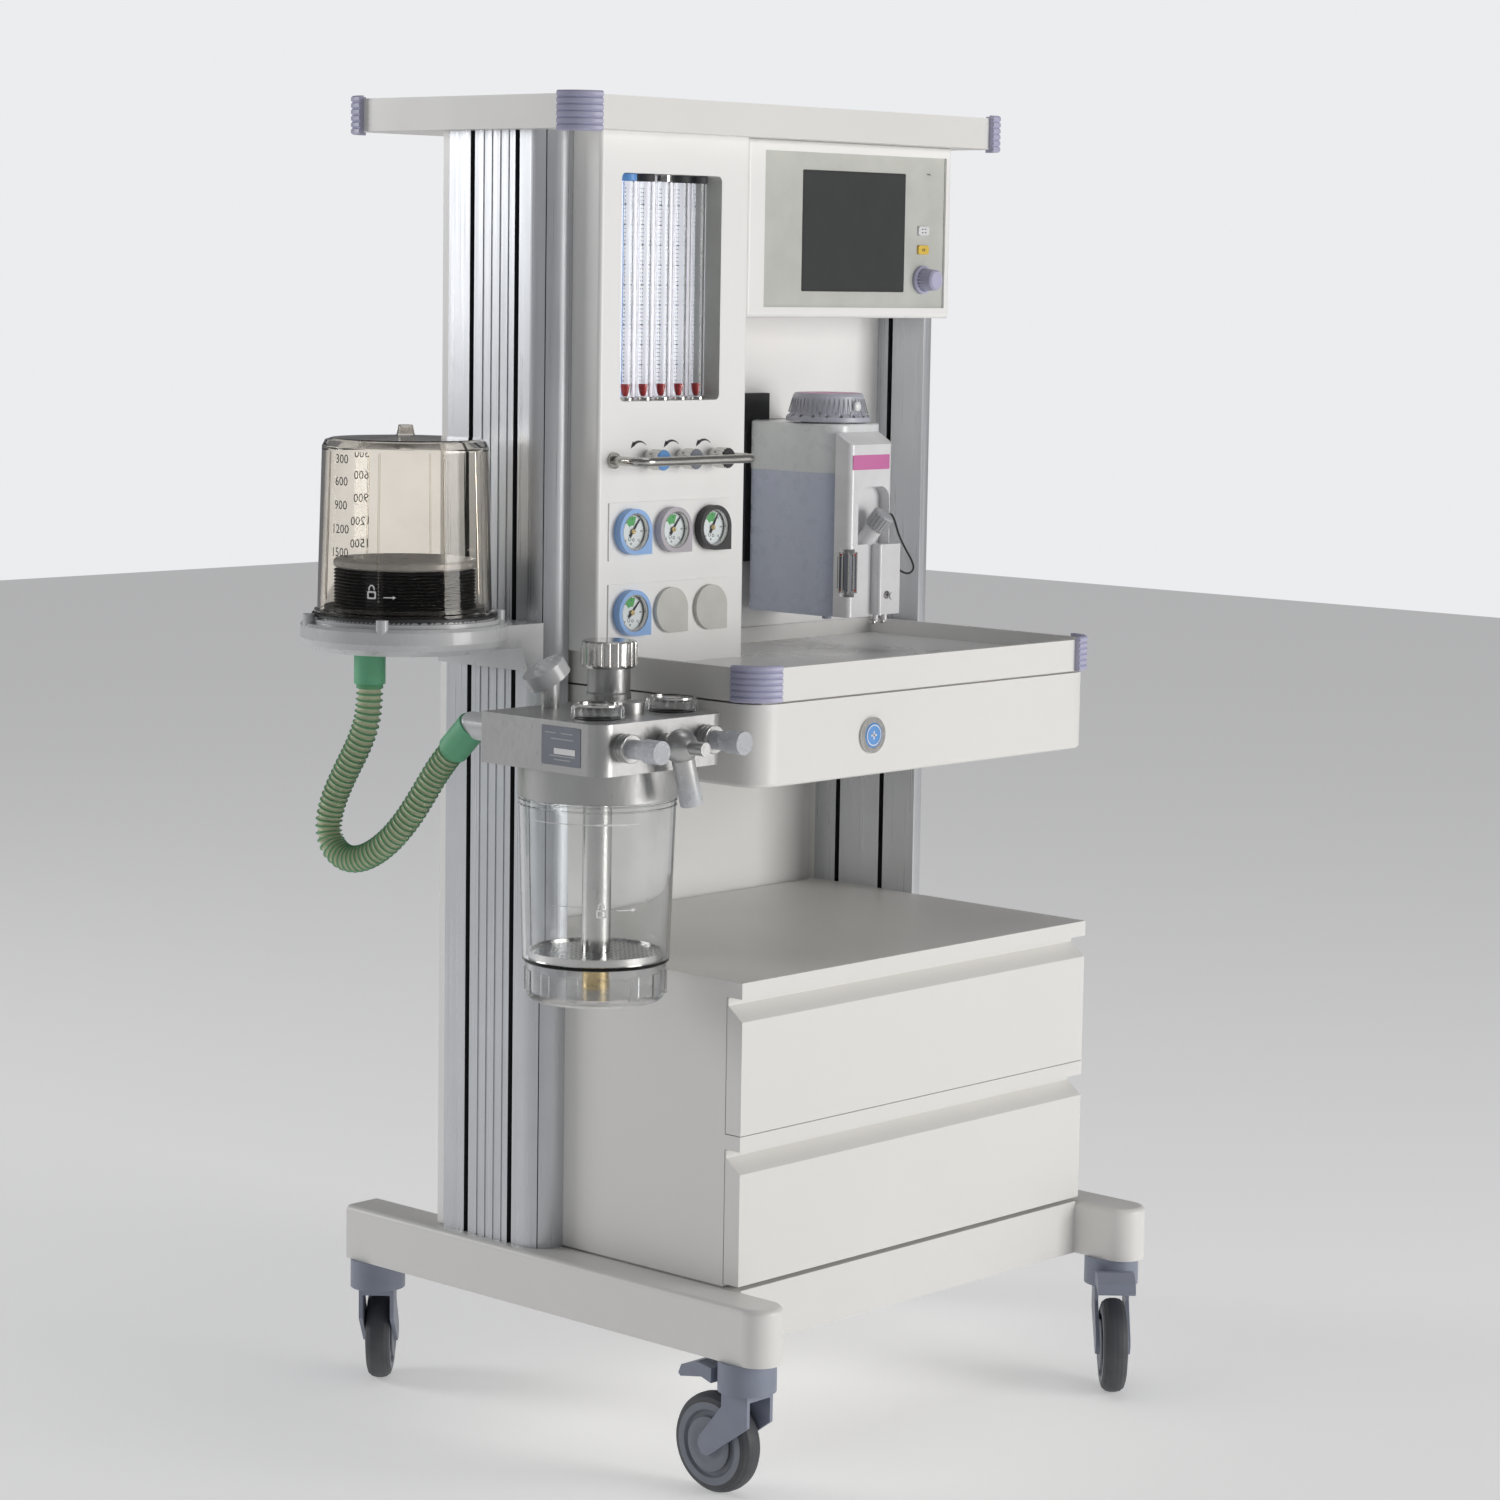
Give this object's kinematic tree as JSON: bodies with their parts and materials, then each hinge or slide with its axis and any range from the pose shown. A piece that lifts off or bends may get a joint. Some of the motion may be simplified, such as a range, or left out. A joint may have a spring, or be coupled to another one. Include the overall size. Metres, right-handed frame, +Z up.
{
  "type": "anesthesia machine",
  "caption": "Wheeled anesthesia machine with drawers, worktop, flowmeter panel, display, vaporizer, bellows dome, breathing block, absorber canister and ribbed hose.",
  "frame": {"origin": "on the floor under the middle of the machine's outline, free hose and lanyard left out", "axes": "+Z up, front with the drawers towards -Y, bellows and breathing block on the -X side"},
  "size_m": [0.85, 0.6654, 1.3584],
  "materials": {
    "painted_white": "fine satin powder coat",
    "panel_white": "smooth satin paint",
    "anodised": "satin anodised extrusion",
    "satin_metal": "bead-blasted, satin",
    "steel": "polished",
    "lilac": "soft ridged moulding",
    "screen": "dark screen glass",
    "button_blue": "printed push button",
    "clear": "clear moulding",
    "tinted": "tinted clear moulding",
    "black_rubber": "matte",
    "black_plastic": "matte",
    "light_gray": "satin",
    "blue_gray": "satin moulding",
    "gray_green": "satin two-tone paint",
    "white_plastic": "gloss moulding",
    "red_float": "moulded",
    "tyre": "smooth tread",
    "green_hose": "ribbed, slightly see-through",
    "yellow_button": "satin"
  },
  "bodies": {
    "frame": {"base_frame": "painted_white", "column_left": "anodised", "column_right": "anodised", "rear_panels": "panel_white", "cabinet_shell": "painted_white", "worktop_housing": "painted_white", "worktop_tray": "painted_white", "top_shelf": "painted_white", "corner_bumpers": "lilac", "flow_panel": "panel_white", "flow_tubes": "clear", "knob_guard": "steel", "gauge_panel": "light_gray", "display_housing": "panel_white", "display_screen": "screen", "vaporizer_mount": "black_plastic", "bellows_base": "light_gray", "bellows_folds": "black_rubber", "breathing_block": "satin_metal", "block_fittings": "satin_metal", "breathing_hose": "green_hose", "rear_inlets": "light_gray"},
    "caster_front_left": {"caster_fork_front_left": "blue_gray"},
    "wheel_front_left": {"caster_wheel_front_left": "tyre"},
    "pedal_front_left": {"caster_pedal_front_left": "blue_gray"},
    "caster_front_right": {"caster_fork_front_right": "blue_gray"},
    "wheel_front_right": {"caster_wheel_front_right": "tyre"},
    "pedal_front_right": {"caster_pedal_front_right": "blue_gray"},
    "caster_back_left": {"caster_fork_back_left": "blue_gray"},
    "wheel_back_left": {"caster_wheel_back_left": "tyre"},
    "caster_back_right": {"caster_fork_back_right": "blue_gray"},
    "wheel_back_right": {"caster_wheel_back_right": "tyre"},
    "drawer_upper": {"drawer_upper": "painted_white"},
    "drawer_lower": {"drawer_lower": "painted_white"},
    "flush_button": {"flush_button": "button_blue"},
    "flow_knob_oxygen": {"flow_knob_oxygen": "steel"},
    "float_oxygen": {"floats_oxygen": "red_float"},
    "flow_knob_nitrous": {"flow_knob_nitrous": "steel"},
    "float_nitrous": {"floats_nitrous": "red_float"},
    "flow_knob_air": {"flow_knob_air": "steel"},
    "float_air": {"float_air": "red_float"},
    "needle_oxygen_pipeline": {"gauge_needle_oxygen_pipeline": "black_plastic"},
    "needle_nitrous_pipeline": {"gauge_needle_nitrous_pipeline": "black_plastic"},
    "needle_air_pipeline": {"gauge_needle_air_pipeline": "black_plastic"},
    "needle_oxygen_cylinder": {"gauge_needle_oxygen_cylinder": "black_plastic"},
    "display_knob": {"display_knob": "lilac"},
    "mute_button": {"display_mute_button": "white_plastic"},
    "standby_button": {"display_standby_button": "yellow_button"},
    "vaporizer": {"vaporizer_body": "gray_green", "vaporizer_front": "white_plastic", "vaporizer_lanyard": "black_rubber"},
    "vaporizer_dial": {"vaporizer_dial": "light_gray"},
    "filler_cap": {"vaporizer_filler_cap": "light_gray"},
    "bellows_dome": {"bellows_dome": "tinted"},
    "bellows_disc": {"bellows_disc": "light_gray"},
    "relief_knob": {"relief_knob": "satin_metal"},
    "bag_elbow": {"bag_elbow": "satin_metal"},
    "canister": {"canister": "clear", "canister_pipe": "steel"},
    "handwheel": {"canister_handwheel": "clear"}
  },
  "joints": [
    {"name": "swivel_front_left", "type": "hinge", "parent": "frame", "child": "caster_front_left", "pos_m": [-0.1951, -0.2679, 0.11], "axis": [0, 0, 1], "continuous": true},
    {"name": "roll_front_left", "type": "hinge", "parent": "caster_front_left", "child": "wheel_front_left", "pos_m": [-0.1951, -0.2304, 0.05], "axis": [-1, 0, 0], "continuous": true},
    {"name": "brake_front_left", "type": "hinge", "parent": "caster_front_left", "child": "pedal_front_left", "pos_m": [-0.1951, -0.2384, 0.114], "axis": [-1, 0, 0], "range_deg": [0, 8]},
    {"name": "swivel_front_right", "type": "hinge", "parent": "frame", "child": "caster_front_right", "pos_m": [0.3841, -0.2679, 0.11], "axis": [0, 0, 1], "continuous": true},
    {"name": "roll_front_right", "type": "hinge", "parent": "caster_front_right", "child": "wheel_front_right", "pos_m": [0.3565, -0.29328, 0.05], "axis": [0.6769, -0.7361, 0], "continuous": true},
    {"name": "brake_front_right", "type": "hinge", "parent": "caster_front_right", "child": "pedal_front_right", "pos_m": [0.36239, -0.28787, 0.114], "axis": [0.6769, -0.7361, 0], "range_deg": [0, 8]},
    {"name": "swivel_back_left", "type": "hinge", "parent": "frame", "child": "caster_back_left", "pos_m": [-0.1951, 0.2679, 0.11], "axis": [0, 0, 1], "continuous": true},
    {"name": "roll_back_left", "type": "hinge", "parent": "caster_back_left", "child": "wheel_back_left", "pos_m": [-0.1675, 0.29328, 0.05], "axis": [-0.6769, 0.7361, 0], "continuous": true},
    {"name": "swivel_back_right", "type": "hinge", "parent": "frame", "child": "caster_back_right", "pos_m": [0.3841, 0.2679, 0.11], "axis": [0, 0, 1], "continuous": true},
    {"name": "roll_back_right", "type": "hinge", "parent": "caster_back_right", "child": "wheel_back_right", "pos_m": [0.3565, 0.29328, 0.05], "axis": [-0.6769, -0.7361, 0], "continuous": true},
    {"name": "drawer_upper_pull", "type": "slide", "parent": "frame", "child": "drawer_upper", "axis": [0, -1, 0], "range_m": [0, 0.3]},
    {"name": "drawer_lower_pull", "type": "slide", "parent": "frame", "child": "drawer_lower", "axis": [0, -1, 0], "range_m": [0, 0.3]},
    {"name": "flush_press", "type": "slide", "parent": "frame", "child": "flush_button", "axis": [0, 1, 0], "range_m": [0, 0.004], "stiffness_N_per_m": 400},
    {"name": "flow_knob_oxygen_turn", "type": "hinge", "parent": "frame", "child": "flow_knob_oxygen", "pos_m": [-0.1055, -0.0305, 0.999], "axis": [0, -1, 0], "range_deg": [0, 300]},
    {"name": "float_oxygen_rise", "type": "slide", "parent": "frame", "child": "float_oxygen", "axis": [0, 0, 1], "range_m": [0, 0.185]},
    {"name": "flow_knob_nitrous_turn", "type": "hinge", "parent": "frame", "child": "flow_knob_nitrous", "pos_m": [-0.0585, -0.0305, 0.999], "axis": [0, -1, 0], "range_deg": [0, 300]},
    {"name": "float_nitrous_rise", "type": "slide", "parent": "frame", "child": "float_nitrous", "axis": [0, 0, 1], "range_m": [0, 0.185]},
    {"name": "flow_knob_air_turn", "type": "hinge", "parent": "frame", "child": "flow_knob_air", "pos_m": [-0.0115, -0.0305, 0.999], "axis": [0, -1, 0], "range_deg": [0, 300]},
    {"name": "float_air_rise", "type": "slide", "parent": "frame", "child": "float_air", "axis": [0, 0, 1], "range_m": [0, 0.185]},
    {"name": "needle_oxygen_pipeline_swing", "type": "hinge", "parent": "frame", "child": "needle_oxygen_pipeline", "pos_m": [-0.131, -0.0345, 0.9278], "axis": [0, 1, 0], "range_deg": [-173, 97]},
    {"name": "needle_nitrous_pipeline_swing", "type": "hinge", "parent": "frame", "child": "needle_nitrous_pipeline", "pos_m": [-0.073, -0.0345, 0.9278], "axis": [0, 1, 0], "range_deg": [-173, 97]},
    {"name": "needle_air_pipeline_swing", "type": "hinge", "parent": "frame", "child": "needle_air_pipeline", "pos_m": [-0.015, -0.0345, 0.9278], "axis": [0, 1, 0], "range_deg": [-165, 105]},
    {"name": "needle_oxygen_cylinder_swing", "type": "hinge", "parent": "frame", "child": "needle_oxygen_cylinder", "pos_m": [-0.131, -0.0345, 0.8466], "axis": [0, 1, 0], "range_deg": [-179, 91]},
    {"name": "display_knob_turn", "type": "hinge", "parent": "frame", "child": "display_knob", "pos_m": [0.3195, -0.0255, 1.181], "axis": [0, -1, 0], "continuous": true},
    {"name": "mute_press", "type": "slide", "parent": "frame", "child": "mute_button", "axis": [0, 1, 0], "range_m": [0, 0.0015], "stiffness_N_per_m": 400},
    {"name": "standby_press", "type": "slide", "parent": "frame", "child": "standby_button", "axis": [0, 1, 0], "range_m": [0, 0.0015], "stiffness_N_per_m": 400},
    {"name": "vaporizer_lift", "type": "slide", "parent": "frame", "child": "vaporizer", "axis": [0, 0, 1], "range_m": [0, 0.04]},
    {"name": "vaporizer_dial_turn", "type": "hinge", "parent": "vaporizer", "child": "vaporizer_dial", "pos_m": [0.1785, -0.019, 1.031], "axis": [0, 0, 1], "range_deg": [0, 270]},
    {"name": "filler_cap_turn", "type": "hinge", "parent": "vaporizer", "child": "filler_cap", "pos_m": [0.1701, -0.076, 0.9043], "axis": [0.1902, -0.5855, 0.788], "range_deg": [0, 360]},
    {"name": "dome_lift", "type": "slide", "parent": "frame", "child": "bellows_dome", "axis": [0, 0, 1], "range_m": [0, 0.2]},
    {"name": "bellows_rise", "type": "slide", "parent": "frame", "child": "bellows_disc", "axis": [0, 0, 1], "range_m": [0, 0.1], "deforming": ["bellows_folds"]},
    {"name": "relief_knob_turn", "type": "hinge", "parent": "frame", "child": "relief_knob", "pos_m": [-0.2195, -0.0925, 0.8], "axis": [0, 0, 1], "range_deg": [0, 270]},
    {"name": "bag_elbow_swivel", "type": "hinge", "parent": "frame", "child": "bag_elbow", "pos_m": [-0.2815, -0.2355, 0.7445], "axis": [0, -1, 0], "range_deg": [-45, 45]},
    {"name": "canister_drop", "type": "slide", "parent": "frame", "child": "canister", "axis": [0, 0, -1], "range_m": [0, 0.19]},
    {"name": "handwheel_turn", "type": "hinge", "parent": "canister", "child": "handwheel", "pos_m": [-0.2785, -0.1375, 0.51], "axis": [0, 0, 1], "range_deg": [0, 60]}
  ],
  "couplings": [
    {"joint": "float_oxygen_rise", "follows": "flow_knob_oxygen_turn", "m_per_rad": 0.035237},
    {"joint": "float_nitrous_rise", "follows": "flow_knob_nitrous_turn", "m_per_rad": 0.035237},
    {"joint": "float_air_rise", "follows": "flow_knob_air_turn", "m_per_rad": 0.035237}
  ]
}
